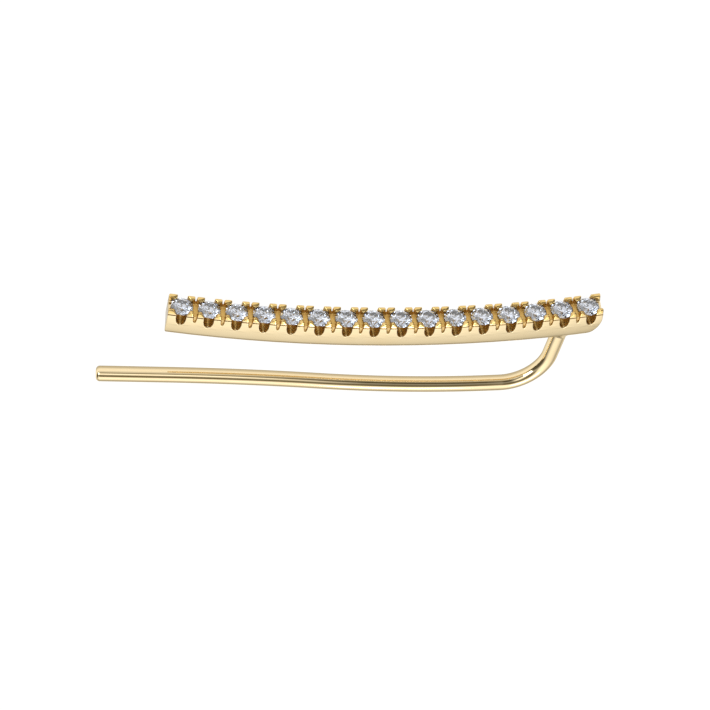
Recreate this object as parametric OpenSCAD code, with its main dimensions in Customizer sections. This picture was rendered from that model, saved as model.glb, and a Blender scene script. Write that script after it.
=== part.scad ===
// Ear climber: a gently bowed gold bar of small claw-set stones, with a round wire that
// leaves the underside near one end, bends back and runs behind the bar.
// Millimetres. The jewel lies on its concave side, as it rests by itself on a table.

/* [Stones] */
// Number of stones in the row
stone_count = 16; // [12:1:16]
// Distance from one stone to the next, along the bar
pitch = 1.40; // [1.34:0.02:1.60]
// Diameter of each stone at its girdle
stone_d = 1.15; // [1.00:0.01:1.17]
// Width of the table, as a share of the stone's diameter
table_share = 0.55; // [0.50:0.01:0.62]
// Height of the crown above the girdle, as a share of the diameter
crown_share = 0.15; // [0.12:0.01:0.17]
// Depth of the pavilion under the girdle, as a share of the diameter
pavilion_share = 0.43; // [0.38:0.01:0.45]
// Thickness of the girdle
girdle_t = 0.03; // [0.02:0.01:0.05]
// Gap left between a stone and its seat
stone_gap = 0.025; // [0.015:0.005:0.04]

/* [Bar] */
// Width of the bar, front wall to rear wall
bar_w = 1.30; // [1.28:0.01:1.60]
// Radius of the sideways bow, at the middle of the bar's width
bow_r = 66; // [50:1:120]
// Height of the plain walls, from the underside to the edge line
wall_h = 1.52; // [1.51:0.01:1.53]
// Height of the stones' girdles above the underside
girdle_h = 1.54; // [1.53:0.005:1.60]
// Rounding of the two long edges of the underside
keel_r = 0.38; // [0.20:0.01:0.45]
// Depth of the small ledge at the edge line
ledge_w = 0.025; // [0.015:0.005:0.04]
// Bare bar beyond the middle of each end stone
end_l = 0.70; // [0.66:0.01:0.90]
// Rounding of the lower corner at the wire's end of the bar
heel_r = 1.25; // [0.60:0.05:1.25]
// Rounding of the lower corner at the other end of the bar
toe_r = 0.35; // [0.10:0.05:0.50]
// Turn of the end face at the wire's end, towards square with the chord
heel_turn = 7; // [0:1:10]

/* [Claws] */
// Height of the claws' tips above the underside
claw_h = 1.80; // [1.78:0.01:1.90]
// Setback of the claws' outer faces, from the ledge to the shoulder
claw_setback = 0.035; // [0.01:0.005:0.06]
// Size of the bevel on the claws' shoulders
claw_bevel = 0.06; // [0.03:0.01:0.08]
// Fall of the claws' inner faces, from the tip to the lip over the stone
claw_fall = 0.09; // [0.06:0.01:0.12]
// How far a claw's lip reaches over the stone
claw_reach = 0.07; // [0.03:0.01:0.09]
// Width of the open channel between the front and rear claws
channel_w = 0.68; // [0.60:0.01:0.74]
// Depth of the channel's floor under the girdles
channel_drop = 0.08; // [0.05:0.01:0.12]

/* [Cuts] */
// Width of the round-bottomed cut through the bar under each stone
scallop_w = 0.50; // [0.36:0.01:0.56]
// Height of that cut's bottom above the underside
scallop_h = 0.89; // [0.82:0.01:1.00]
// Height over which that cut narrows to its rounded bottom
scallop_round = 0.48; // [0.32:0.01:0.52]
// Width of the gap between two neighbouring claws, at its floor
slot_w = 0.18; // [0.12:0.01:0.22]
// Width of that gap at the claws' tips
slot_top_w = 0.22; // [0.14:0.01:0.30]
// Height of that gap's floor above the underside
slot_h = 1.475; // [1.465:0.0025:1.48]
// Depth of the pointed groove cut into each wall under that gap
groove_d = 0.10; // [0.05:0.01:0.15]
// Height of the groove's point above the underside
groove_h = 1.14; // [1.00:0.005:1.25]

/* [Wire] */
// Diameter of the wire
wire_d = 0.80; // [0.60:0.05:0.85]
// Distance from the wire's end of the bar to the wire's axis at the underside
wire_inset = 1.95; // [1.70:0.01:3.00]
// Lean of the leg away from square with the underside
leg_lean = 8.6; // [4:0.2:16]
// Length of the straight leg
leg_l = 1.84; // [1.50:0.01:2.60]
// Radius of the bend, at the wire's axis
bend_r = 2.20; // [1.80:0.05:2.60]
// Angle of the bend
bend_a = 86.9; // [80:0.1:92]
// Length of the first stretch behind the bar
near_l = 9.5; // [7:0.1:11]
// Radius of the first stretch
near_r = 38.8; // [32:0.1:80]
// Turn of the first stretch's curve about the wire
near_roll = 113.7; // [104:0.1:118]
// Length of the second stretch
far_l = 7.8; // [6:0.1:9]
// Radius of the second stretch
far_r = 50.6; // [40:0.1:90]
// Further turn of the second stretch's curve about the wire
far_roll = 40.1; // [20:0.1:50]
// Length of the straight tip
tip_l = 3.5; // [2.5:0.1:5]
// Bevel round the end of the tip
tip_bevel = 0.11; // [0.05:0.01:0.20]
// Width of the solder fillet round the leg's foot
fillet_w = 0.11; // [0.05:0.01:0.12]

/* [Hidden] */
$fn = 48;
gold = [0.93, 0.77, 0.46];
ice = [0.86, 0.90, 0.97];
// More than any size of the bar, for cuts that run right through
through = 4;

stone_r = stone_d / 2;
table_r = stone_r * table_share;
crown_h = stone_d * crown_share;
pavilion_h = stone_d * pavilion_share;
girdle_top = girdle_t / 2;
half_w = bar_w / 2;
last_s = pitch * (stone_count - 1) / 2;
end_s = last_s + end_l;
wire_r = wire_d / 2;

// Rings of corners on a stone, at half a facet's turn from the table's corners
facets = 8;
half_facet = 180 / facets;
star_r = (table_r * cos(half_facet) + stone_r) / 2;
star_z = crown_h * (stone_r - star_r * cos(half_facet)) / (stone_r - table_r);
lower_share = 0.25;
lower_r = stone_r * lower_share;
lower_z = pavilion_h * (1 - lower_r * cos(half_facet) / stone_r);
// Steepest rise of the crown inwards from the girdle, which the claws' lips clear
crown_slope = star_z / (stone_r - star_r);

// A stone's name has two digits, so the names sort as the stones lie
function stone_name(i) = str("stone_", i < 10 ? "0" : "", i);

// Distance of stone i from the middle, along the bar
function stone_s(i) = (i - (stone_count + 1) / 2) * pitch;

// Frames as matrices: a shift, turns about the axes, and a frame set at distance s along the bow
function shift(v) = [[1, 0, 0, v.x], [0, 1, 0, v.y], [0, 0, 1, v.z], [0, 0, 0, 1]];
function turn_y(a) = [[cos(a), 0, sin(a), 0], [0, 1, 0, 0], [-sin(a), 0, cos(a), 0], [0, 0, 0, 1]];
function turn_z(a) = [[cos(a), -sin(a), 0, 0], [sin(a), cos(a), 0, 0], [0, 0, 1, 0], [0, 0, 0, 1]];
function bow_angle(s) = s / bow_r * 180 / PI;
function on_bow(s) = shift([0, 0, -bow_r]) * turn_y(bow_angle(s)) * shift([0, 0, bow_r]);
function place(m, p) = [for (i = [0 : 2]) m[i] * [p.x, p.y, p.z, 1]];

// Points of an arc about a centre, from one angle to another
function on_circle(centre, r, a) = centre + [r * cos(a), r * sin(a)];
function arc(centre, r, from, to, steps = 6) =
    [for (i = [0 : steps]) on_circle(centre, r, from + (to - from) * i / steps)];

// The bar in its own frame: x along the chord, y the way the stones face, z out of the front wall.
// Half of the cross-section, as points of width from the middle and height above the underside
claw_out = half_w - ledge_w - claw_setback;
half_section = concat(
    arc([half_w - keel_r, keel_r], keel_r, -90, 0),
    [
        [half_w, wall_h],
        [half_w - ledge_w, wall_h],
        [claw_out, claw_h - claw_bevel],
        [claw_out - claw_bevel, claw_h],
        [channel_w / 2 + ledge_w, claw_h - claw_fall],
        [channel_w / 2, girdle_h - channel_drop],
    ]
);
function mirrored(points) = [for (i = [len(points) - 1 : -1 : 0]) [-points[i].x, points[i].y]];

module bowed_bar() {
    start = -bow_angle(end_s);
    // Runs a little past the wire's end, where the end cut trims it
    finish = bow_angle(end_s + end_l);
    translate([0, 0, -bow_r])
        rotate([-90, -90, 0])
            rotate([0, 0, start])
                rotate_extrude(angle = finish - start, $fn = 180)
                    translate([bow_r, 0])
                        polygon(concat(half_section, mirrored(half_section)));
}

// Space of one stone and the opening over it, about the stone's own axis
module seat() {
    mouth_r = stone_r - claw_reach;
    lip_h = girdle_top + stone_gap + claw_reach * crown_slope;
    seat_r = stone_r + stone_gap;
    above = claw_h - girdle_h + stone_gap;
    translate([0, girdle_h, 0])
        rotate([-90, 0, 0])
            rotate_extrude()
                polygon([
                    [0, -pavilion_h - girdle_top - 2 * stone_gap],
                    [seat_r, -girdle_top - stone_gap],
                    [seat_r, girdle_top + stone_gap],
                    [mouth_r, lip_h],
                    [mouth_r + claw_reach, above],
                    [0, above],
                ]);
}

// Round-bottomed cut under a stone, open to the top and through both walls. Its lower part is
// half an ellipse
module scallop() {
    r = scallop_w / 2;
    low = scallop_h + scallop_round;
    bottom = [for (p = arc([0, 0], 1, 180, 360, 12)) [r * p.x, low + scallop_round * p.y]];
    translate([0, 0, -through / 2])
        linear_extrude(through)
            polygon(concat(bottom, [[r, claw_h + r], [-r, claw_h + r]]));
}

// Gap between two neighbouring claws, through the bar and a little wider at the claws' tips
module slot() {
    half = slot_w / 2;
    // Its sides run on past the claws' tips
    rise = (claw_h + half - slot_h) / (claw_h - slot_h);
    side = [[half, slot_h], [half + (slot_top_w / 2 - half) * rise, claw_h + half]];
    translate([0, 0, -through / 2])
        linear_extrude(through)
            polygon(concat(side, mirrored(side)));
}

// Right side of the groove from its point upwards, as shares of its half width and of its rise
groove_side = [[0.75, 0.30], [1, 0.75], [1, 1]];

// Pointed groove under that gap, cut into the wall on the +z side
module groove() {
    half = slot_w / 2 - ledge_w / 2;
    rise = slot_h - groove_h + ledge_w;
    side = [for (p = groove_side) [half * p.x, groove_h + rise * p.y]];
    translate([0, 0, half_w - groove_d])
        linear_extrude(through)
            polygon(concat([[0, groove_h]], side, mirrored(side)));
}

// What the end cuts leave, seen on the front wall and standing at the end stone.
// The corner's arc crosses the underside at a slight angle.
module end_outline(reach, corner_r) {
    sink = 0.01;
    low = corner_r - sink;
    dip = acos(low / corner_r);
    translate([0, 0, -through])
        linear_extrude(2 * through)
            polygon(concat(
                [[-2 * bow_r, -sink], [reach - corner_r, -sink]],
                arc([reach - corner_r, low], corner_r, -90 + dip, 0),
                [[reach, through], [-2 * bow_r, through]]
            ));
}

// Trims both ends to their faces and rounds their lower corners
module end_trim() {
    intersection() {
        multmatrix(on_bow(last_s))
            rotate([0, -heel_turn, 0])
                end_outline(end_l, heel_r);
        multmatrix(on_bow(-last_s))
            mirror([1, 0, 0])
                end_outline(end_l, toe_r);
    }
}

// Each stretch of the wire has its length, its bend radius or 0 where it is straight, and the
// turn about the wire at its start
function stretch_l(row) = row[0];
function stretch_r(row) = row[1];
function stretch_roll(row) = row[2];
// The leg starts this far inside the bar
root_share = 0.7;
root_l = wire_r * root_share;
wire_stretches = [
    // length, radius, roll
    [root_l + leg_l, 0, 0],
    [bend_r * bend_a * PI / 180, bend_r, 0],
    [near_l, near_r, near_roll],
    [far_l, far_r, far_roll],
    [tip_l, 0, 0],
];
last_stretch = len(wire_stretches) - 1;

// A wire's frame has z along the wire and x towards the inside of the bend
function bend_angle(row) = stretch_l(row) / stretch_r(row) * 180 / PI;
function after_bend(row) =
    let (a = bend_angle(row), r = stretch_r(row))
    shift([r - r * cos(a), 0, r * sin(a)]) * turn_y(a);
function after(row) = stretch_r(row) > 0 ? after_bend(row) : shift([0, 0, stretch_l(row)]);
function next_frame(m, row) = m * turn_z(stretch_roll(row)) * after(row);
function wire_frame(k) =
    k == 0 ? wire_start : next_frame(wire_frame(k - 1), wire_stretches[k - 1]);

// The axis crosses the underside at wire_foot, headed down and leaning back along the bar
heading_down = [[-1, 0, 0, 0], [0, 0, -1, 0], [0, -1, 0, 0], [0, 0, 0, 1]];
wire_foot = on_bow(end_s - wire_inset) * heading_down * turn_y(leg_lean);
wire_start = wire_foot * shift([0, 0, -root_l]);
wire_end = wire_frame(last_stretch + 1);

// Two stretches stop just short of each other inside a bead a hair thicker than the wire.
// The bead's poles are turned off the wire, so that its seam crosses neither stretch's end
bead_rise = 0.005;
bead_turn = [90, 0, 30];
joint_gap = 0.03;

module bent_stretch(row) {
    gap_angle = joint_gap / stretch_r(row) * 180 / PI;
    translate([stretch_r(row), 0, 0])
        rotate(180, [0, 1, 1])
            rotate([0, 0, gap_angle])
                rotate_extrude(angle = bend_angle(row) - 2 * gap_angle, $fn = 360)
                    translate([stretch_r(row), 0])
                        circle(wire_r, $fn = 48);
}

// Round straight wire between two heights on its axis, with its far end bevelled or not
module straight(from, to, bevel = 0) {
    far_end = bevel > 0 ? [[wire_r, to - bevel], [wire_r - bevel, to]] : [[wire_r, to]];
    rotate_extrude()
        polygon(concat([[0, from], [wire_r, from]], far_end, [[0, to]]));
}

module leg(row) {
    straight(0, stretch_l(row) - joint_gap);
}

module tip(row) {
    straight(joint_gap, stretch_l(row), tip_bevel);
}

// Solder fillet round the leg's foot, a cone that sinks into the leg at its narrow end
module fillet() {
    sink = 0.02;
    rise_share = 1.5;
    translate([0, 0, -fillet_w])
        cylinder(r1 = wire_r + fillet_w, r2 = wire_r - sink, h = (fillet_w + sink) * rise_share + fillet_w);
}

module wire() {
    for (k = [0 : last_stretch]) {
        row = wire_stretches[k];
        multmatrix(wire_frame(k) * turn_z(stretch_roll(row)))
            if (k == 0) leg(row);
            else if (k == last_stretch) tip(row);
            else bent_stretch(row);
    }
    for (k = [1 : last_stretch])
        multmatrix(wire_frame(k))
            rotate(bead_turn)
                sphere(wire_r + bead_rise);
    multmatrix(wire_foot)
        fillet();
}

// Rest on a table: the floor touches the edge line at both ends of the rear wall and the tip.
// It holds the line between the two ends, and is tangent to the tip's round
function rear_edge(x) = [x, wall_h, sqrt(pow(bow_r - half_w, 2) - x * x) - bow_r];
heel_x = end_l / cos(heel_turn) + half_w * tan(heel_turn);
toe_foot = place(on_bow(-last_s), rear_edge(-end_l));
heel_foot = place(on_bow(last_s), rear_edge(heel_x));
rest_x = (heel_foot - toe_foot) / norm(heel_foot - toe_foot);
to_tip = place(wire_end, [0, 0, -tip_bevel]) - toe_foot;
across = to_tip - rest_x * (rest_x * to_tip);
across_dir = across / norm(across);
tip_share = wire_r / norm(across);
floor_up = across_dir * tip_share + cross(across_dir, rest_x) * sqrt(1 - tip_share * tip_share);
rest_y = cross(floor_up, rest_x);
function rest_point(p) = [rest_x * (p - toe_foot), rest_y * (p - toe_foot), floor_up * (p - toe_foot)];
// The origin is on the table, under the middle of the jewel's box
tip_low = rest_point(place(wire_end, [0, 0, 0]));
claw_tip = rest_point([0, claw_h, half_w]);
centre_x = (tip_low.x + rest_point(heel_foot).x) / 2;
centre_y = (tip_low.y - wire_r + claw_tip.y) / 2;
to_rest = [
    [rest_x.x, rest_x.y, rest_x.z, -rest_x * toe_foot - centre_x],
    [rest_y.x, rest_y.y, rest_y.z, -rest_y * toe_foot - centre_y],
    [floor_up.x, floor_up.y, floor_up.z, -floor_up * toe_foot],
    [0, 0, 0, 1],
];

module setting() {
    color(gold)
        multmatrix(to_rest) {
            intersection() {
                difference() {
                    bowed_bar();
                    for (i = [1 : stone_count])
                        multmatrix(on_bow(stone_s(i))) {
                            seat();
                            scallop();
                        }
                    for (i = [1 : stone_count - 1])
                        multmatrix(on_bow(stone_s(i + 0.5))) {
                            slot();
                            groove();
                            mirror([0, 0, 1])
                                groove();
                        }
                }
                end_trim();
            }
            wire();
        }
}

// Round brilliant: rings of corners from the table down to the culet
function ring(count, r, z, offset = 0) =
    [for (i = [0 : count - 1]) [r * cos(i * 360 / count + offset), r * sin(i * 360 / count + offset), z]];
brilliant_points = concat(
    ring(facets, table_r, girdle_top + crown_h),
    ring(facets, star_r, girdle_top + star_z, half_facet),
    ring(2 * facets, stone_r, girdle_top),
    ring(2 * facets, stone_r, -girdle_top),
    ring(facets, lower_r, -girdle_top - lower_z, half_facet),
    [[0, 0, -girdle_top - pavilion_h]]
);
function table_at(i) = i % facets;
function star_at(i) = facets + i % facets;
function upper_at(j) = 2 * facets + j % (2 * facets);
function under_at(j) = 4 * facets + j % (2 * facets);
function lower_at(i) = 6 * facets + i % facets;
culet_at = 7 * facets;
brilliant_faces = concat(
    [[for (i = [facets - 1 : -1 : 0]) table_at(i)]],
    [for (i = [0 : facets - 1]) [table_at(i), table_at(i + 1), star_at(i)]],
    [for (i = [0 : facets - 1]) [table_at(i + 1), star_at(i + 1), upper_at(2 * i + 2), star_at(i)]],
    [for (i = [0 : facets - 1]) [star_at(i), upper_at(2 * i + 1), upper_at(2 * i)]],
    [for (i = [0 : facets - 1]) [star_at(i), upper_at(2 * i + 2), upper_at(2 * i + 1)]],
    [for (j = [0 : 2 * facets - 1]) [upper_at(j), upper_at(j + 1), under_at(j + 1), under_at(j)]],
    [for (i = [0 : facets - 1]) [under_at(2 * i), under_at(2 * i + 1), lower_at(i)]],
    [for (i = [0 : facets - 1]) [under_at(2 * i + 1), under_at(2 * i + 2), lower_at(i)]],
    [for (i = [0 : facets - 1]) [lower_at(i), under_at(2 * i + 2), lower_at(i + 1), culet_at]]
);

// Each stone is turned in its seat by its own amount, under one facet's turn, as a setter leaves it
turn_step = 137;
function stone_turn(i) = (i * turn_step) % (2 * half_facet);

module stone(i) {
    color(ice)
        multmatrix(to_rest * on_bow(stone_s(i)))
            translate([0, girdle_h, 0])
                rotate([-90, 0, 0])
                    rotate([0, 0, stone_turn(i)])
                        polyhedron(brilliant_points, brilliant_faces);
}

setting();
for (i = [1 : stone_count])
    stone(i);
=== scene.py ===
import math
import bmesh
import bpy
import numpy as np
from mathutils import Matrix, Vector


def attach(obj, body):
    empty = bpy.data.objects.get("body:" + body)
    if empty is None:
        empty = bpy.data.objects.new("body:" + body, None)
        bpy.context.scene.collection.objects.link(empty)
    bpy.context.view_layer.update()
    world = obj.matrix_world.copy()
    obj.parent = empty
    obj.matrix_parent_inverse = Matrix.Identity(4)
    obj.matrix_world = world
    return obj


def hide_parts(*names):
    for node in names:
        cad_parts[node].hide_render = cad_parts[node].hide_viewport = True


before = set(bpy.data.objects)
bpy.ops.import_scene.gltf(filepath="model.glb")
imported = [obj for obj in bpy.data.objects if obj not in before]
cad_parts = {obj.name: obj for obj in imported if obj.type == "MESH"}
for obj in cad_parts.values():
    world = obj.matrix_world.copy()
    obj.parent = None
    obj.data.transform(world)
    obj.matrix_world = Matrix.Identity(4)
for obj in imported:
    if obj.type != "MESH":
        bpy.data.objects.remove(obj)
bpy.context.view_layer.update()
scene = bpy.context.scene
print("frame loaded:", len(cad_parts), "nodes")


# All shapes are drawn in millimetres in the bar's own frame: x along the bar's chord, y the way
# the stones face, z out of the front wall. toTable then lays the jewel down, in metres.

class Link:
    # wraps one output socket, so that sums on it add Math nodes
    def __init__(self, tree, socket):
        self.tree = tree
        self.socket = socket

    def maths(self, operation, *values):
        return addNode(self.tree, "ShaderNodeMath", {"operation": operation}, dict(enumerate(values)))

    def __add__(self, other):
        return self.maths("ADD", self, other)

    def __radd__(self, other):
        return self.maths("ADD", other, self)

    def __sub__(self, other):
        return self.maths("SUBTRACT", self, other)

    def __rsub__(self, other):
        return self.maths("SUBTRACT", other, self)

    def __mul__(self, other):
        return self.maths("MULTIPLY", self, other)

    def __rmul__(self, other):
        return self.maths("MULTIPLY", other, self)

    def __truediv__(self, other):
        return self.maths("DIVIDE", self, other)

    def __rtruediv__(self, other):
        return self.maths("DIVIDE", other, self)

    def __pow__(self, other):
        return self.maths("POWER", self, other)

    def sine(self):
        return self.maths("SINE", self)

    def cosine(self):
        return self.maths("COSINE", self)

    def size(self):
        return self.maths("ABSOLUTE", self)

    def atMost(self, other):
        return self.maths("MINIMUM", self, other)

    def atLeast(self, other):
        return self.maths("MAXIMUM", self, other)

    def clamped(self):
        return self.atMost(1.0).atLeast(0.0)


def addNode(tree, kind, settings=None, values=None, out=0):
    node = tree.nodes.new(kind)
    for name, value in (settings or {}).items():
        if name == "stops":  # a colour ramp's stops, each a place and a colour
            ramp = node.color_ramp
            while len(ramp.elements) < len(value):
                ramp.elements.new(1.0)
            for element, (place, colour) in zip(ramp.elements, value):
                element.position = place
                element.color = colour if hasattr(colour, "__len__") else (colour, colour, colour, 1)
        else:
            setattr(node, name, value)
    for name, value in (values or {}).items():
        for one in value if isinstance(value, list) else [value]:
            if isinstance(one, Link):
                tree.links.new(one.socket, node.inputs[name])
            else:
                node.inputs[name].default_value = one
    return Link(tree, node.outputs[out]) if node.outputs else node


def linkScene(obj):
    scene.collection.objects.link(obj)
    return obj


def meshObject(name, points, faces, edges=()):
    mesh = bpy.data.meshes.new(name)
    mesh.from_pydata([tuple(p) for p in points], list(edges), [tuple(f) for f in faces])
    mesh.update()
    return linkScene(bpy.data.objects.new(name, mesh))


def evaluatedMesh(obj):
    bpy.context.view_layer.update()
    graph = bpy.context.evaluated_depsgraph_get()
    return bpy.data.meshes.new_from_object(obj.evaluated_get(graph), depsgraph=graph)


def bakeModifiers(obj):
    # the result of the modifiers takes the place of the mesh
    mesh = evaluatedMesh(obj)
    obj.modifiers.clear()
    obj.data = mesh
    return obj


def closedShell(obj):
    # merges doubles and turns the faces outwards
    shape = bmesh.new()
    shape.from_mesh(obj.data)
    bmesh.ops.remove_doubles(shape, verts=shape.verts, dist=1e-5)
    bmesh.ops.recalc_face_normals(shape, faces=shape.faces)
    shape.to_mesh(obj.data)
    shape.free()
    return obj


def prism(name, outline, axis, low, high):
    # outline gives the two coordinates other than axis, in the order x, y, z
    count = len(outline)
    points = []
    for level in (low, high):
        for a, b in outline:
            point = [a, b]
            point.insert("xyz".index(axis), level)
            points.append(point)
    faces = [list(range(count)), list(range(count, 2 * count))]
    for i in range(count):
        j = (i + 1) % count
        faces.append([i, j, count + j, count + i])
    return closedShell(meshObject(name, points, faces))


def turned(name, profile, steps, axisPoint=(0, 0)):
    # solid of revolution about y, from a profile of radius and height whose ends are on the axis
    points, faces = [], []
    rings = []
    for radius, height in profile:
        if radius < 1e-9:
            rings.append([len(points)])
            points.append((axisPoint[0], height, axisPoint[1]))
        else:
            rings.append(list(range(len(points), len(points) + steps)))
            for k in range(steps):
                angle = 2 * math.pi * (k + 0.5) / steps
                points.append((axisPoint[0] + radius * math.cos(angle), height,
                               axisPoint[1] + radius * math.sin(angle)))
    for below, above in zip(rings, rings[1:]):
        for k in range(steps):
            m = (k + 1) % steps
            if len(below) == 1:
                faces.append([below[0], above[m], above[k]])
            elif len(above) == 1:
                faces.append([below[k], below[m], above[0]])
            else:
                faces.append([below[k], below[m], above[m], above[k]])
    return closedShell(meshObject(name, points, faces))


def cutAway(body, *tools):
    for tool in tools:
        cut = body.modifiers.new("cut", "BOOLEAN")
        cut.operation = "DIFFERENCE"
        cut.solver = "EXACT"
        cut.object = tool
    bakeModifiers(body)
    for tool in tools:
        bpy.data.objects.remove(tool)
    return body


def arcPoints(centre, radius, fromAngle, toAngle, steps):
    angles = [math.radians(fromAngle + (toAngle - fromAngle) * i / steps) for i in range(steps + 1)]
    return [(centre[0] + radius * math.cos(a), centre[1] + radius * math.sin(a)) for a in angles]


def smoothStep(values, low, high):
    share = np.clip((values - low) / (high - low), 0, 1)
    return share * share * (3 - 2 * share)


def treeWithInputs(name, inputs):
    # a Geometry Nodes tree with named inputs; returns it, its input links and its output node
    tree = bpy.data.node_groups.new(name, "GeometryNodeTree")
    tree.interface.new_socket("Geometry", in_out="INPUT", socket_type="NodeSocketGeometry")
    tree.interface.new_socket("Geometry", in_out="OUTPUT", socket_type="NodeSocketGeometry")
    for label, kind in inputs:
        tree.interface.new_socket(label, in_out="INPUT", socket_type=kind)
    entry = tree.nodes.new("NodeGroupInput")
    exitNode = tree.nodes.new("NodeGroupOutput")
    return tree, {s.name: Link(tree, s) for s in entry.outputs if s.name}, exitNode


def runTree(obj, tree, values):
    # sets the inputs by their sockets' identifiers, runs the tree and keeps the plain mesh
    modifier = obj.modifiers.new(tree.name, "NODES")
    modifier.node_group = tree
    for item in tree.interface.items_tree:
        if item.in_out == "INPUT" and item.name in values:
            modifier[item.identifier] = values[item.name]
    return bakeModifiers(obj)


def newMaterial(name):
    material = bpy.data.materials.new(name)
    material.use_nodes = True
    tree = material.node_tree
    shader = tree.nodes["Principled BSDF"]
    return material, tree, shader


def feed(tree, shader, name, value):
    if isinstance(value, Link):
        tree.links.new(value.socket, shader.inputs[name])
    else:
        shader.inputs[name].default_value = value


def objectPlace(tree, scale=(1, 1, 1), turn=(0, 0, 0)):
    place = addNode(tree, "ShaderNodeTexCoord", out=3)
    return addNode(tree, "ShaderNodeMapping", {}, {"Vector": place, "Scale": scale, "Rotation": turn})


def mixColours(tree, share, first, second, blend="MIX"):
    node = tree.nodes.new("ShaderNodeMix")
    node.data_type = "RGBA"
    node.blend_type = blend
    for index, value in ((0, share), (6, first), (7, second)):
        if isinstance(value, Link):
            tree.links.new(value.socket, node.inputs[index])
        else:
            node.inputs[index].default_value = value
    return Link(tree, node.outputs[2])


goldFinish = {
    "polished": (0.93, 0.76, 0.47, 1),
    "warmer": (0.90, 0.70, 0.39, 1),
    "recessShade": (0.70, 0.45, 0.14, 1),
    "claws": (0.81, 0.57, 0.22, 1),
    "edge": (0.42, 0.26, 0.08, 1),
    "underside": (0.58, 0.46, 0.27, 1),
    "grazing": (0.62, 0.58, 0.50, 1),
    "roughness": 0.075,
    "recessDullness": 0.40,
    "broadPattern": 620.0,
    "finePattern": 5200.0,
    "linePattern": 16000.0,
    "lineStretch": (0.06, 1, 1),
    "lineTurn": (0, 0, 0.12),
    "zoneFade": 0.10,
    "lineHalfWidth": 0.028,
    "wave": 0.0000022,
    "scratch": 0.00000035,
    "edgeGroove": 0.000006,
}


def makeGold():
    material, tree, shader = newMaterial("polishedGold")
    # where a point lies on the bar, in millimetres: along it, above its underside, off its middle
    onBar = addNode(tree, "ShaderNodeAttribute", {"attribute_name": "barPlace"}, out=1)
    along, height, across = (
        addNode(tree, "ShaderNodeSeparateXYZ", {}, {"Vector": onBar}, out=i) for i in range(3))
    fade = goldFinish["zoneFade"]
    # the cuts end short of both end faces
    inside = ((halfWidth - 0.03 - across.size()) / fade).clamped()
    inside = inside * ((lastStone + cuts["scallopWidth"] - along.size()) / 0.08).clamped()
    cutZone = ((height - cuts["scallopHeight"] + 0.12) / fade).clamped()
    cutZone = cutZone * (1.0 - ((height - bar["clawHeight"] + 0.24) / 0.14).clamped())
    # painted shade: a thin dark line along the top of the walls, the shade of the small ledge there; the same
    # line is also a bump groove
    offLine = (height - bar["wallHeight"]).size()
    ledgeShadeAndGroove = (1.5 - offLine / goldFinish["lineHalfWidth"]).clamped() * (1.0 - inside)
    recess = inside * cutZone
    crown = ((height - bar["wallHeight"] - 0.02) / fade).clamped()
    broad = addNode(tree, "ShaderNodeTexNoise", {}, {
        "Vector": objectPlace(tree), "Scale": goldFinish["broadPattern"], "Detail": 2.0, "Roughness": 0.45})
    fine = addNode(tree, "ShaderNodeTexNoise", {}, {
        "Vector": objectPlace(tree), "Scale": goldFinish["finePattern"], "Detail": 3.0, "Roughness": 0.6})
    # polishing lines run mostly along the jewel
    lines = addNode(tree, "ShaderNodeTexNoise", {}, {
        "Vector": objectPlace(tree, goldFinish["lineStretch"], goldFinish["lineTurn"]),
        "Scale": goldFinish["linePattern"], "Detail": 2.0, "Roughness": 0.5})
    tint = mixColours(tree, (broad - 0.35) * 1.2, goldFinish["polished"], goldFinish["warmer"])
    # painted shade: the side that faces the table is darker, standing in for the darker floor it mirrors
    down = 0.0 - addNode(tree, "ShaderNodeSeparateXYZ", {}, {
        "Vector": addNode(tree, "ShaderNodeNewGeometry", out=1)}, out=2)
    paintedUnderShade = ((down + 0.05) / 0.3).clamped()
    tint = mixColours(tree, paintedUnderShade, tint, goldFinish["underside"])
    # light bounces between the claws and the stones, which warms the metal there
    tint = mixColours(tree, crown, tint, goldFinish["claws"])
    # painted shade: the metal inside the cuts is darker and deeper gold, as where light bounces between the
    # walls
    tint = mixColours(tree, recess.clamped(), tint, goldFinish["recessShade"])
    # painted shade along the ledge line at the top of the walls
    tint = mixColours(tree, ledgeShadeAndGroove, tint, goldFinish["edge"])
    feed(tree, shader, "Base Color", tint)
    shader.inputs["Metallic"].default_value = 1.0
    shader.inputs["Specular Tint"].default_value = goldFinish["grazing"]
    dull = goldFinish["roughness"] + (fine - 0.5) * 0.06 + (lines - 0.5) * 0.05
    dull = dull + recess * goldFinish["recessDullness"]
    feed(tree, shader, "Roughness", dull.atLeast(0.04))
    waves = addNode(tree, "ShaderNodeBump", {}, {
        "Strength": 1.0, "Distance": goldFinish["wave"], "Height": broad})
    groove = addNode(tree, "ShaderNodeBump", {}, {
        "Strength": 1.0, "Distance": goldFinish["edgeGroove"], "Height": 0.0 - ledgeShadeAndGroove, "Normal": waves})
    scratches = addNode(tree, "ShaderNodeBump", {}, {
        "Strength": 1.0, "Distance": goldFinish["scratch"], "Height": lines + fine * 0.6, "Normal": groove})
    feed(tree, shader, "Normal", scratches)
    return material


stoneFinish = {
    "clear": (0.91, 0.94, 1.0, 1),
    "veil": (0.78, 0.84, 1.0, 1),
    "ior": 2.417,
    "veilPattern": 1500.0,
    "filmPattern": 9000.0,
}


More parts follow.
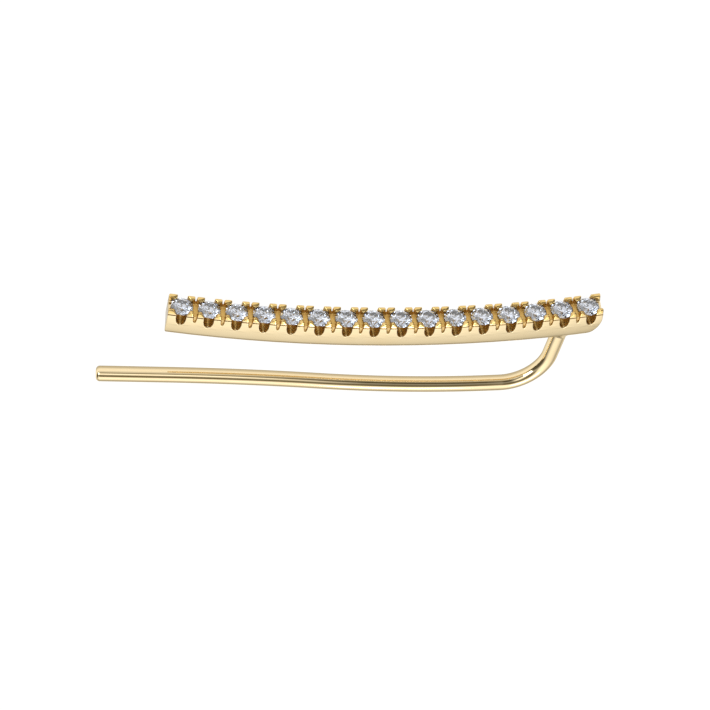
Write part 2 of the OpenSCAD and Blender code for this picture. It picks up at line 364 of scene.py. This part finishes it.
def makeStone():
    material, tree, shader = newMaterial("clearStone")
    veil = addNode(tree, "ShaderNodeTexNoise", {}, {
        "Vector": objectPlace(tree), "Scale": stoneFinish["veilPattern"], "Detail": 2.0, "Roughness": 0.5})
    body = mixColours(tree, veil.clamped(), stoneFinish["clear"], stoneFinish["veil"])
    feed(tree, shader, "Base Color", body)
    shader.inputs["IOR"].default_value = stoneFinish["ior"]
    shader.inputs["Transmission Weight"].default_value = 1.0
    film = addNode(tree, "ShaderNodeTexNoise", {}, {
        "Vector": objectPlace(tree), "Scale": stoneFinish["filmPattern"], "Detail": 2.0, "Roughness": 0.5})
    feed(tree, shader, "Roughness", ((film - 0.55) * 0.12).atLeast(0.0))
    return material


def makeTableTop():
    material, tree, shader = newMaterial("paleTable")
    grain = addNode(tree, "ShaderNodeTexNoise", {}, {
        "Vector": objectPlace(tree), "Scale": 900.0, "Detail": 3.0, "Roughness": 0.6})
    dark, pale = ((level, level, level, 1) for level in stageSet["tableGrey"])
    feed(tree, shader, "Base Color", mixColours(tree, grain.clamped(), dark, pale))
    shader.inputs["Roughness"].default_value = 0.9
    # lit from below, as a photographer's light table
    shader.inputs["Emission Color"].default_value = (1, 1, 1, 1)
    shader.inputs["Emission Strength"].default_value = stageSet["tableGlow"]
    return material


bar = {
    "stones": 16,
    "pitch": 1.40,
    "width": 1.30,
    "bowRadius": 66.0,
    "wallHeight": 1.52,
    "wallBulge": 4.0,
    "keelRadius": 0.38,
    "ledge": 0.025,
    "clawHeight": 1.80,
    "clawLean": 0.035,
    "clawBevel": 0.06,
    "clawFall": 0.09,
    "rearClawFall": 0.05,
    "channelWidth": 0.68,
    "channelFloor": 1.46,
    "endReach": 0.70,
    "heelRadius": 1.25,
    "toeRadius": 0.35,
    "heelTurn": 7.0,
    "roundingLoss": 0.025,
    "toeSpare": 0.2,
    "heelSpare": 0.4,
    "voxel": 0.02,
    "triangles": 180000,
}
cuts = {
    "scallopWidth": 0.50,
    "scallopHeight": 0.89,
    "scallopRound": 0.48,
    "frontSlot": (0.19, 0.24),
    "rearSlot": (0.05, 0.12),
    "slotHeight": 1.475,
    "grooveDepth": 0.10,
    "grooveHeight": 1.14,
    "grooveWidth": 0.17,
    "flareRise": 0.03,
    "flareWidth": 0.94,
    "girdleHeight": 1.54,
    "seatRadius": 0.60,
    "seatDepth": 0.56,
    "mouthRadius": 0.505,
    "mouthRise": 0.098,
    "reach": 0.07,
    "seatBand": 0.04,
    "past": 0.2,
    "through": 2.0,
    "above": 2.2,
}
lastStone = bar["pitch"] * (bar["stones"] - 1) / 2
halfWidth = bar["width"] / 2


def onBow(distance):
    radius = bar["bowRadius"]
    return (Matrix.Translation((0, 0, -radius)) @ Matrix.Rotation(distance / radius, 4, "Y")
            @ Matrix.Translation((0, 0, radius)))


def crossSection():
    # height and width from the middle, all round the bar; the walls bulge by a few degrees
    keel = bar["keelRadius"]
    clawOut = halfWidth - bar["ledge"] - bar["clawLean"]
    top = bar["clawHeight"] + bar["roundingLoss"]
    bulge = bar["wallBulge"]
    half = [(y, z) for z, y in arcPoints((halfWidth - keel, keel), keel, -90, -bulge, 14)]
    lowest, span = half[-1][0], bar["wallHeight"] - half[-1][0]
    for step in range(1, 9):
        share = step / 8
        swell = math.radians(bulge) * span * share * (1 - share)
        half.append((lowest + span * share, halfWidth + swell))
    half += [
        (bar["wallHeight"] + 0.004, halfWidth - bar["ledge"]),
        (top - bar["clawBevel"], clawOut),
        (top, clawOut - bar["clawBevel"]),
    ]
    lip = bar["channelWidth"] / 2 + bar["ledge"]
    front, rear = ([(top - bar[fall], lip), (bar["channelFloor"], bar["channelWidth"] / 2)]
                   for fall in ("clawFall", "rearClawFall"))
    return half + front + [(y, -z) for y, z in reversed(half + rear)]


def seatTool(place):
    girdle, top = cuts["girdleHeight"], bar["clawHeight"] + 0.05
    mouth = cuts["mouthRadius"]
    profile = [
        (0, girdle - cuts["seatDepth"]),
        (cuts["seatRadius"], girdle - cuts["seatBand"]),
        (cuts["seatRadius"], girdle + cuts["seatBand"]),
        (mouth, girdle + cuts["mouthRise"]),
        (mouth + cuts["reach"], top),
        (0, top),
    ]
    return turned("seatTool", profile, 64, (place, 0))


def scallopTool(place):
    # the lower part of the opening is half an ellipse
    radius, rise = cuts["scallopWidth"] / 2, cuts["scallopRound"]
    low = cuts["scallopHeight"] + rise
    outline = [(place + radius * x, low + rise * y) for x, y in arcPoints((0, 0), 1, 180, 360, 32)]
    outline += [(place + radius, cuts["above"]), (place - radius, cuts["above"])]
    return prism("scallopTool", outline, "z", -cuts["through"], cuts["through"])


def flareTool():
    # the opening between a stone's two front claws widens towards their tips
    low, high = bar["wallHeight"] + cuts["flareRise"], bar["clawHeight"]
    narrow, wide = cuts["scallopWidth"] / 2 - 0.01, cuts["flareWidth"] / 2
    outline = [(narrow, low), (wide, high), (wide + 0.1, high + cuts["past"])]
    outline += [(-x, y) for x, y in reversed(outline)]
    return prism("flareTool", outline, "z", bar["channelWidth"] / 2 - 0.05, cuts["through"])


def slotTools(place):
    # the gap between two claws, narrower at the rear, and the pointed groove under it in each wall
    tools = []
    for side, widths in ((1, cuts["frontSlot"]), (-1, cuts["rearSlot"])):
        low, high = cuts["slotHeight"], bar["clawHeight"]
        right = [(widths[0] / 2, low), (widths[1] / 2, high),
                 (widths[1] / 2 + 0.06, high + cuts["past"])]
        outline = [(place + x, y) for x, y in right] + [(place - x, y) for x, y in reversed(right)]
        tools.append(prism("slotTool", outline, "z", *sorted((-0.001 * side, side * cuts["through"]))))
        point, rise = cuts["grooveHeight"], low - cuts["grooveHeight"] + 0.03
        half = cuts["grooveWidth"] / 2
        right = [(half * 0.45, point + rise * 0.10), (half * 0.75, point + rise * 0.30),
                 (half * 0.93, point + rise * 0.52), (half, point + rise * 0.75), (half, point + rise)]
        outline = [(place, point)] + [(place + x, y) for x, y in right]
        outline += [(place - x, y) for x, y in reversed(right)]
        inner = halfWidth - cuts["grooveDepth"]
        tools.append(prism("grooveTool", outline, "z", *sorted((side * inner, side * cuts["through"]))))
    return tools


def openEnd(obj, place):
    # takes away the end face at this place, so that neighbours join
    shape = bmesh.new()
    shape.from_mesh(obj.data)
    ends = [f for f in shape.faces if all(abs(v.co.x - place) < 1e-4 for v in f.verts)]
    bmesh.ops.delete(shape, geom=ends, context="FACES")
    shape.to_mesh(obj.data)
    shape.free()


def makeCell(name, low, high, slots, openEnds):
    cell = prism(name, crossSection(), "x", low, high)
    between = [tool for place in slots for tool in slotTools(place)]
    cutAway(cell, seatTool(0), scallopTool(0), flareTool(), *between)
    for place in openEnds:
        openEnd(cell, place)
    return cell


def bowedRowTree():
    tree, given, exitNode = treeWithInputs("bowedRow", [
        ("Toe Cell", "NodeSocketObject"), ("Heel Cell", "NodeSocketObject"),
        ("Inner Cells", "NodeSocketInt"), ("Pitch", "NodeSocketFloat"),
        ("Bow Radius", "NodeSocketFloat"), ("Metal", "NodeSocketMaterial")])
    pitch, radius = given["Pitch"], given["Bow Radius"]
    reach = (given["Inner Cells"] + 1) * pitch * 0.5
    start = addNode(tree, "ShaderNodeCombineXYZ", {}, {"X": pitch - reach})
    step = addNode(tree, "ShaderNodeCombineXYZ", {}, {"X": pitch})
    line = addNode(tree, "GeometryNodeMeshLine", {"mode": "OFFSET"}, {
        "Count": given["Inner Cells"], "Start Location": start, "Offset": step})
    inner = addNode(tree, "GeometryNodeInstanceOnPoints", {}, {"Points": line, "Instance": given["Geometry"]})
    ends = []
    for label, side in (("Toe Cell", -1.0), ("Heel Cell", 1.0)):
        shape = addNode(tree, "GeometryNodeObjectInfo", {}, {"Object": given[label]}, out=4)
        shift = addNode(tree, "ShaderNodeCombineXYZ", {}, {"X": reach * side})
        ends.append(addNode(tree, "GeometryNodeTransform", {}, {"Geometry": shape, "Translation": shift}))
    row = addNode(tree, "GeometryNodeJoinGeometry", {}, {"Geometry": [inner] + ends})
    row = addNode(tree, "GeometryNodeRealizeInstances", {}, {"Geometry": row})
    row = addNode(tree, "GeometryNodeMergeByDistance", {}, {"Geometry": row, "Distance": 0.0005})
    # the row is bent sideways: a point keeps its distance from the arc through the middle
    place = addNode(tree, "GeometryNodeInputPosition")
    x, y, z = (addNode(tree, "ShaderNodeSeparateXYZ", {}, {"Vector": place}, out=i) for i in range(3))
    angle = x / radius
    bent = addNode(tree, "ShaderNodeCombineXYZ", {}, {
        "X": (z + radius) * angle.sine(), "Y": y, "Z": (z + radius) * angle.cosine() - radius})
    row = addNode(tree, "GeometryNodeSetPosition", {}, {"Geometry": row, "Position": bent})
    row = addNode(tree, "GeometryNodeRealizeInstances", {}, {"Geometry": row})
    row = addNode(tree, "GeometryNodeSetMaterial", {}, {"Geometry": row, "Material": given["Metal"]})
    tree.links.new(row.socket, exitNode.inputs[0])
    return tree


def endTool(name, reach, cornerRadius, side):
    # what lies beyond the end face and outside its rounded lower corner, at the end stone
    corner = arcPoints((reach - cornerRadius, cornerRadius), cornerRadius, -90, 0, 24)
    below, over = -1.0, 3.0
    outline = [(reach - cornerRadius, below)] + corner
    outline += [(reach, over), (reach + over, over), (reach + over, below)]
    return prism(name, [(side * x, y) for x, y in outline], "z", -cuts["through"], cuts["through"])


def makeBar():
    half = bar["pitch"] / 2
    inner = makeCell("barWithClaws", -half, half, (-half, half), (-half, half))
    toe = makeCell("toeCell", -half - bar["toeSpare"], half, (half,), (half,))
    heel = makeCell("heelCell", -half, half + bar["heelSpare"], (-half,), (-half,))
    body = runTree(inner, bowedRowTree(), {
        "Toe Cell": toe, "Heel Cell": heel, "Inner Cells": bar["stones"] - 2, "Pitch": bar["pitch"],
        "Bow Radius": bar["bowRadius"], "Metal": goldMaterial})
    for end in (toe, heel):
        bpy.data.objects.remove(end)
    heelTool = endTool("heelTool", bar["endReach"], bar["heelRadius"], 1)
    heelTool.data.transform(onBow(lastStone) @ Matrix.Rotation(math.radians(-bar["heelTurn"]), 4, "Y"))
    toeTool = endTool("toeTool", bar["endReach"], bar["toeRadius"], -1)
    toeTool.data.transform(onBow(-lastStone))
    closedShell(heelTool)
    closedShell(toeTool)
    return cutAway(body, heelTool, toeTool)


wire = {
    "diameter": 0.80,
    "inset": 1.95,
    "lean": 8.6,
    "root": 0.28,
    "leg": 1.84,
    "bendRadius": 2.20,
    "bendAngle": 86.9,
    "nearLength": 9.5,
    "nearRadius": 38.8,
    "nearRoll": 113.7,
    "farLength": 7.8,
    "farRadius": 50.6,
    "farRoll": 40.1,
    "tip": 3.5,
    "tipRound": 0.20,
    "tipBevel": 0.11,
    "collar": 0.16,
    "collarHeight": 0.36,
    "pace": 0.06,
    "sides": 64,
}
endDistance = lastStone + bar["endReach"]


def wireFoot():
    headingDown = Matrix(((-1, 0, 0, 0), (0, 0, -1, 0), (0, -1, 0, 0), (0, 0, 0, 1)))
    lean = Matrix.Rotation(math.radians(wire["lean"]), 4, "Y")
    return onBow(endDistance - wire["inset"]) @ headingDown @ lean


def alongStretch(run, radius):
    # the frame at this run of a stretch that bends towards its own x, or is straight
    if radius == 0:
        return Matrix.Translation((0, 0, run))
    angle = run / radius
    bent = Matrix.Translation((radius - radius * math.cos(angle), 0, radius * math.sin(angle)))
    return bent @ Matrix.Rotation(angle, 4, "Y")


def wireStretches():
    # the frame at the start of each stretch, with its length and bend radius, and the end's frame
    rows = [
        (wire["root"] + wire["leg"], 0, 0),
        (wire["bendRadius"] * math.radians(wire["bendAngle"]), wire["bendRadius"], 0),
        (wire["nearLength"], wire["nearRadius"], wire["nearRoll"]),
        (wire["farLength"], wire["farRadius"], wire["farRoll"]),
        (wire["tip"], 0, 0),
    ]
    here = wireFoot() @ Matrix.Translation((0, 0, -wire["root"]))
    stretches = []
    for length, radius, roll in rows:
        here = here @ Matrix.Rotation(math.radians(roll), 4, "Z")
        stretches.append((here, length, radius))
        here = here @ alongStretch(length, radius)
    return stretches, here


def wirePath():
    # points along the wire's axis with the distance of each from the start, close together at the tip
    stretches, end = wireStretches()
    total = sum(length for start, length, radius in stretches)
    rounding = wire["tipRound"]
    pace = wire["pace"]
    marks = [pace * i for i in range(int((total - rounding) / pace))]
    marks += [total - rounding * (1 - math.sin(math.radians(a))) - 0.01 for a in range(0, 91, 9)]
    marks += [total - 0.005, total]
    points, gone = [], 0.0
    for start, length, radius in stretches:
        last = gone + length + (1e-6 if gone + length > total - 1e-6 else 0)
        points += [(start @ alongStretch(m - gone, radius)).translation for m in marks if gone <= m < last]
        gone += length
    return points, marks, total


def restPose():
    # the table touches the rear edge line at both ends of the bar and the round of the wire's tip
    def rearCorner(side, degrees):
        turn, radius = math.radians(degrees), bar["bowRadius"]
        x = side * (bar["endReach"] / math.cos(turn) + halfWidth * math.tan(turn))
        corner = Vector((x, bar["wallHeight"], math.sqrt((radius - halfWidth) ** 2 - x * x) - radius))
        return onBow(side * lastStone) @ corner
    toe, heel = rearCorner(-1, 0), rearCorner(1, bar["heelTurn"])
    along = (heel - toe).normalized()
    tipFrame = wireStretches()[1]
    toTip = tipFrame @ Vector((0, 0, -wire["tipBevel"])) - toe
    across = toTip - along * along.dot(toTip)
    share = wire["diameter"] / 2 / across.length
    across.normalize()
    up = across * share + across.cross(along) * math.sqrt(1 - share * share)
    pose = Matrix((along, up.cross(along), up)).to_4x4()
    pose.translation = -(pose @ toe)
    # the origin is under the middle of the jewel's box
    tip, claw = pose @ tipFrame.translation, pose @ Vector((0, bar["clawHeight"], halfWidth))
    middle = Vector(((tip.x + (pose @ heel).x) / 2, (tip.y - wire["diameter"] / 2 + claw.y) / 2, 0))
    return Matrix.Translation(-middle) @ pose


toRest = restPose()
toTable = Matrix.Scale(0.001, 4) @ toRest
print("rest pose:", [[round(v, 6) for v in row] for row in toRest])


def wireTree():
    tree, given, exitNode = treeWithInputs("roundWire", [
        ("Sides", "NodeSocketInt"), ("Metal", "NodeSocketMaterial")])
    path = addNode(tree, "GeometryNodeMeshToCurve", {}, {"Mesh": given["Geometry"]})
    ring = addNode(tree, "GeometryNodeCurvePrimitiveCircle", {}, {
        "Resolution": given["Sides"], "Radius": 1.0})
    thickness = addNode(tree, "GeometryNodeInputNamedAttribute", {"data_type": "FLOAT"}, {
        "Name": "wireRadius"})
    tube = addNode(tree, "GeometryNodeCurveToMesh", {}, {
        "Curve": path, "Profile Curve": ring, "Scale": thickness, "Fill Caps": True})
    tube = addNode(tree, "GeometryNodeRealizeInstances", {}, {"Geometry": tube})
    tube = addNode(tree, "GeometryNodeSetMaterial", {}, {"Geometry": tube, "Material": given["Metal"]})
    tree.links.new(tube.socket, exitNode.inputs[0])
    return tree


def makeWire():
    points, distances, total = wirePath()
    radius, rounding = wire["diameter"] / 2, wire["tipRound"]
    radii = []
    for distance in distances:
        left = total - distance
        if left < 0.01:
            radii.append((radius - rounding) * max(0.02, left / 0.01) ** 0.5)
        elif left < rounding + 0.01:
            radii.append(radius - rounding + math.sqrt(max(0, rounding ** 2 - (rounding + 0.01 - left) ** 2)))
        else:
            radii.append(radius)
    obj = meshObject("wire", points, [], [(i, i + 1) for i in range(len(points) - 1)])
    store = obj.data.attributes.new("wireRadius", "FLOAT", "POINT")
    store.data.foreach_set("value", radii)
    runTree(obj, wireTree(), {"Sides": wire["sides"], "Metal": goldMaterial})
    closedShell(obj)
    for face in obj.data.polygons:
        face.use_smooth = True
    return obj


def makeCollar():
    # solder round the leg's foot, drawn about the leg's axis and narrowing into the leg
    radius = wire["diameter"] / 2
    height, spread = wire["collarHeight"], wire["collar"]
    profile = [(0, -0.20), (radius + spread * 0.9, -0.20)]
    for step in range(13):
        share = step / 12
        around = radius - 0.03 + (spread + 0.03) * (1 - share) ** 1.9
        profile.append((around, -0.10 + share * (height + 0.22)))
    profile.append((0, height + 0.12))
    collar = turned("collar", profile, 64)
    # the profile's height runs along y, and the wire's along its own z
    collar.data.transform(wireFoot() @ Matrix.Rotation(math.radians(90), 4, "X"))
    return closedShell(collar)


def coordinates(mesh):
    values = np.empty(len(mesh.vertices) * 3)
    mesh.vertices.foreach_get("co", values)
    return values.reshape(-1, 3)


def straightened(points):
    # distance along the bow, height above the underside, distance from the middle of the width
    radius = bar["bowRadius"]
    angle = np.arctan2(points[:, 0], points[:, 2] + radius)
    return angle * radius, points[:, 1], np.hypot(points[:, 0], points[:, 2] + radius) - radius


def relax(mesh, weights, rounds):
    # draws each corner towards the middle of its neighbours
    points = coordinates(mesh)
    ends = np.empty(len(mesh.edges) * 2, np.int32)
    mesh.edges.foreach_get("vertices", ends)
    first, second = ends.reshape(-1, 2).T
    here, there = np.concatenate((first, second)), np.concatenate((second, first))
    degree = np.maximum(np.bincount(here, minlength=len(points)), 1)
    for _ in range(rounds):
        middle = np.stack([np.bincount(here, points[there, k], len(points)) for k in range(3)], 1)
        points += weights[:, None] * (middle / degree[:, None] - points)
    mesh.vertices.foreach_set("co", points.ravel())
    mesh.update()


def joinInto(target, other):
    shape = bmesh.new()
    shape.from_mesh(target.data)
    shape.from_mesh(other.data)
    shape.to_mesh(target.data)
    shape.free()
    bpy.data.objects.remove(other)


def remeshed(obj, voxel):
    remesh = obj.modifiers.new("remesh", "REMESH")
    remesh.mode = "VOXEL"
    remesh.voxel_size = voxel
    remesh.use_smooth_shade = True
    return bakeModifiers(obj)


def finishMetal(obj, triangles):
    # a fine copy keeps its normals, and the piece is thinned to its number of triangles
    fine = bpy.data.objects.new("fineMetal", obj.data.copy())
    linkScene(fine)
    thin = obj.modifiers.new("thin", "DECIMATE")
    thin.ratio = min(1.0, triangles / (2 * len(obj.data.polygons)))
    bakeModifiers(obj)
    for face in obj.data.polygons:
        face.use_smooth = True
    copyNormals = obj.modifiers.new("normals", "DATA_TRANSFER")
    copyNormals.object = fine
    copyNormals.use_loop_data = True
    copyNormals.data_types_loops = {"CUSTOM_NORMAL"}
    copyNormals.loop_mapping = "POLYINTERP_NEAREST"
    bakeModifiers(obj)
    bpy.data.objects.remove(fine)
    return obj


stageSet = {
    "tableSize": 3.0,
    "tableGlow": 0.96,
    "tableGrey": (0.09, 0.12),
    "exposure": 0.0,
    "brightest": 1.6,
    "endLight": (0.60, 0.10),
}
goldMaterial = makeGold()
stoneMaterial = makeStone()
print("materials made")

barPiece = makeBar()
print("bar cut:", len(barPiece.data.polygons), "faces")
joinInto(barPiece, makeCollar())
remeshed(barPiece, bar["voxel"])
print("bar remeshed:", len(barPiece.data.polygons), "faces")
spots = coordinates(barPiece.data)
_, barHeight, barAcross = straightened(spots)
relax(barPiece.data, np.full(len(spots), 0.5), 2)
clawZone = smoothStep(barHeight, bar["wallHeight"] + 0.05, bar["wallHeight"] + 0.16)
relax(barPiece.data, 0.5 * clawZone, 10)
relax(barPiece.data, 0.5 * clawZone * (barAcross < 0), 10)  # the rear claws are pushed over and rounder
footPlace = np.array(wireFoot().translation)
nearFoot = 1 - smoothStep(np.linalg.norm(spots - footPlace, axis=1), 0.45, 0.85)
relax(barPiece.data, 0.5 * nearFoot * (1 - smoothStep(barHeight, 0.12, 0.3)), 20)
finishMetal(barPiece, bar["triangles"])
onBarStore = barPiece.data.attributes.new("barPlace", "FLOAT_VECTOR", "POINT")
onBarStore.data.foreach_set("vector", np.stack(straightened(coordinates(barPiece.data)), 1).ravel())
print("bar finished:", len(barPiece.data.polygons), "faces")

wirePiece = makeWire()
print("wire made:", len(wirePiece.data.polygons), "faces")

for piece in (barPiece, wirePiece):
    piece.data.transform(toTable)
    piece.data.materials.clear()
    piece.data.materials.append(goldMaterial)
    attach(piece, "root")
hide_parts("setting")
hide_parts("setting")

# the stones keep their facets
for name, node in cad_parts.items():
    if name.startswith("stone"):
        node.data.materials.clear()
        node.data.materials.append(stoneMaterial)
print("stones set")

table = meshObject("tableTop", [(x * stageSet["tableSize"], y * stageSet["tableSize"], 0)
                                for x, y in ((-1, -1), (1, -1), (1, 1), (-1, 1))], [(0, 1, 2, 3)])
table.data.materials.append(makeTableTop())


# soft panels of the studio round the jewel's length: half turns from the stones' side, brightness
studioPanels = {
    "left": [
        (0.000, 1.00), (0.022, 0.80), (0.110, 0.70), (0.150, 0.28), (0.195, 0.30), (0.235, 1.35),
        (0.290, 1.35), (0.325, 0.60), (0.385, 0.16), (0.480, 0.20), (0.530, 1.05)],
    "right": [
        (0.000, 1.00), (0.030, 0.66), (0.100, 0.26), (0.155, 0.06), (0.192, 0.03), (0.220, 0.30),
        (0.290, 0.30), (0.345, 0.14), (0.440, 0.18), (0.495, 1.20)],
    "overhead": [
        (0.600, 1.38), (0.690, 1.28), (0.750, 1.05), (0.806, 0.80), (0.861, 0.52), (1.000, 0.42)],
}


def panelRamp(tree, turn, levels):
    # brightness round the jewel's length; the gaps between panels are warmer than the panels
    stops = []
    for place, level in levels:
        share = level / stageSet["brightest"]
        warm = 0.55 if level < 0.3 else 1.0
        stops.append((place, (share, share * (0.7 + 0.3 * warm), share * warm, 1)))
    return addNode(tree, "ShaderNodeValToRGB", {"stops": stops}, {"Fac": turn})


def makeWorld():
    # a studio sky of soft panels with dark gaps between them, that run along the jewel
    world = bpy.data.worlds.new("studio")
    world.use_nodes = True
    tree = world.node_tree
    way = addNode(tree, "ShaderNodeTexCoord", out=0)
    x, y, z = (addNode(tree, "ShaderNodeSeparateXYZ", {}, {"Vector": way}, out=i) for i in range(3))
    turn = z.maths("ARCTAN2", z, y) / math.pi  # 0 at the stones' side, 0.5 overhead, 1 behind
    left, right = (panelRamp(tree, turn, studioPanels[side] + studioPanels["overhead"])
                   for side in ("left", "right"))
    panels = mixColours(tree, ((x + 0.12) / 0.30).clamped(), left, right)
    # it is dimmer beyond both ends of the jewel
    near, far = (level / stageSet["brightest"] for level in stageSet["endLight"])
    beyond = mixColours(tree, ((x.size() - 0.62) / 0.22).clamped(), (near, near, near, 1),
                        (far, far * 0.9, far * 0.7, 1))
    sky = mixColours(tree, ((x.size() - 0.45) / 0.25).clamped(), panels, beyond)
    background = tree.nodes["Background"]
    tree.links.new(sky.socket, background.inputs["Color"])
    background.inputs["Strength"].default_value = stageSet["brightest"]
    scene.world = world


view = {
    "yaw": 0.28,
    "elevation": 0.837758,
    "roll": 0.2101,
    "centre": (387.35, 319.05),
    "centreHeight": 1.54,
    "scale": 0.05056,
    "image": 710,
    "distance": 1500.0,
    "sensor": 36.0,
}


def makeCamera():
    yaw, elevation, roll = view["yaw"], view["elevation"], view["roll"]
    sideways = Vector((math.cos(yaw), 0, math.sin(yaw)))
    inward = Vector((math.sin(yaw), 0, -math.cos(yaw)))
    straightUp = Vector((0, 1, 0))
    upwards = inward * math.sin(elevation) + straightUp * math.cos(elevation)
    towards = straightUp * math.sin(elevation) - inward * math.cos(elevation)
    right = math.cos(roll) * sideways + math.sin(roll) * upwards
    above = -math.sin(roll) * sideways + math.cos(roll) * upwards
    middle = view["image"] / 2
    target = (right * (middle - view["centre"][0]) + above * (view["centre"][1] - middle)) * view["scale"]
    target.y += view["centreHeight"]
    turn = toRest.to_3x3()
    right, above, towards = turn @ right, turn @ above, turn @ towards
    place = (toRest @ target + towards * view["distance"]) * 0.001
    pose = Matrix((right, above, towards)).transposed().to_4x4()
    pose.translation = place
    camera = bpy.data.objects.new("camera", bpy.data.cameras.new("camera"))
    linkScene(camera)
    camera.matrix_world = pose
    camera.data.sensor_width = view["sensor"]
    camera.data.lens = view["sensor"] * view["distance"] / (view["image"] * view["scale"])
    camera.data.clip_start = 0.01
    camera.data.clip_end = 50.0
    scene.camera = camera


# places and sides in metres, power in watts; both lamps face the jewel at the origin
lamps = {
    "keyPanel": {"place": (0.10, -0.16, 0.42), "size": (0.16, 0.06), "power": 0.12, "colour": (1, 1, 1)},
    "stonePanel": {"place": (-0.26, 0.24, 0.20), "size": (0.20, 0.20), "power": 0.42,
                   "colour": (0.78, 0.88, 1.0)},
}


def softPanel(name, settings):
    lamp = bpy.data.lights.new(name, "AREA")
    lamp.shape = "RECTANGLE"
    lamp.size, lamp.size_y = settings["size"]
    lamp.energy = settings["power"]
    lamp.color = settings["colour"]
    obj = linkScene(bpy.data.objects.new(name, lamp))
    obj.location = settings["place"]
    obj.rotation_euler = (-Vector(settings["place"])).to_track_quat("-Z", "Y").to_euler()
    return obj


makeWorld()
makeCamera()
for name, lamp in lamps.items():
    softPanel(name, lamp)
scene.view_settings.view_transform = "Standard"
scene.view_settings.exposure = stageSet["exposure"]
print("stage set")
